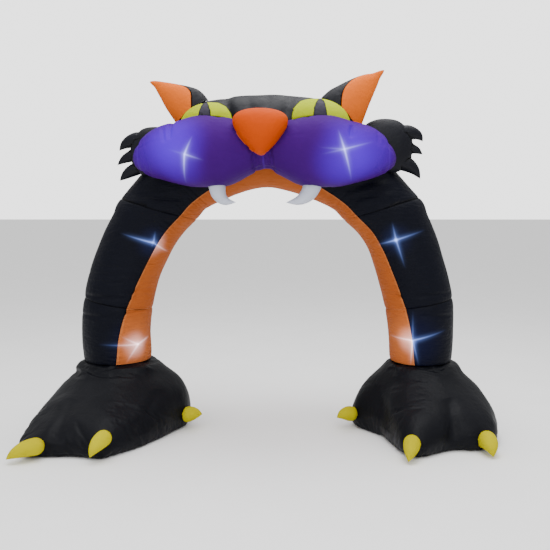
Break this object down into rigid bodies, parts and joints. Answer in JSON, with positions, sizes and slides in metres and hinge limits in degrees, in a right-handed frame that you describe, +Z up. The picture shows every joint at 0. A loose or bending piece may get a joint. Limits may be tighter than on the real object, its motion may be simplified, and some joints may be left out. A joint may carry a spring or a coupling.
{
  "type": "inflatable archway",
  "caption": "Air-blown walk-through arch in the form of a cat, a fat tube bent over a gap with a head and wide muzzle on top and clawed paws at its feet.",
  "frame": {"origin": "on the floor, under the middle of the whole arch's box", "axes": "+X across the gap towards the foot on the right as seen from the front, -Y the side of the face, +Z up"},
  "size_m": [3.0612, 1.197, 2.392],
  "materials": {
    "black_cloth": "smooth coated taffeta with a soft sheen",
    "orange_cloth": "smooth coated taffeta with a soft sheen",
    "purple_cloth": "smooth coated taffeta, lit from inside",
    "nose_cloth": "smooth coated taffeta with a soft sheen",
    "ear_cloth": "smooth coated taffeta with a soft sheen",
    "lime_cloth": "smooth coated taffeta",
    "grey_cloth": "smooth coated taffeta",
    "white_cloth": "smooth coated taffeta",
    "yellow_cloth": "smooth coated taffeta"
  },
  "bodies": {
    "root": {"leg_lower_left": "black_cloth", "leg_upper_left": "black_cloth", "crown": "black_cloth", "leg_upper_right": "black_cloth", "leg_lower_right": "black_cloth", "strip_lower_left": "orange_cloth", "strip_upper_left": "orange_cloth", "soffit": "orange_cloth", "strip_upper_right": "orange_cloth", "strip_lower_right": "orange_cloth", "head": "black_cloth", "muzzle": "purple_cloth", "nose": "nose_cloth", "eye_left": "lime_cloth", "eye_right": "lime_cloth", "pupil_left": "grey_cloth", "pupil_right": "grey_cloth", "ear_front_left": "ear_cloth", "ear_front_right": "ear_cloth", "ear_back_left": "black_cloth", "ear_back_right": "black_cloth", "tuft_left": "black_cloth", "tuft_right": "black_cloth", "fang_left": "white_cloth", "fang_right": "white_cloth", "paw_left": "black_cloth", "paw_right": "black_cloth", "claw_outer_left": "yellow_cloth", "claw_middle_left": "yellow_cloth", "claw_inner_left": "yellow_cloth", "claw_inner_right": "yellow_cloth", "claw_middle_right": "yellow_cloth", "claw_outer_right": "yellow_cloth"}
  },
  "joints": []
}
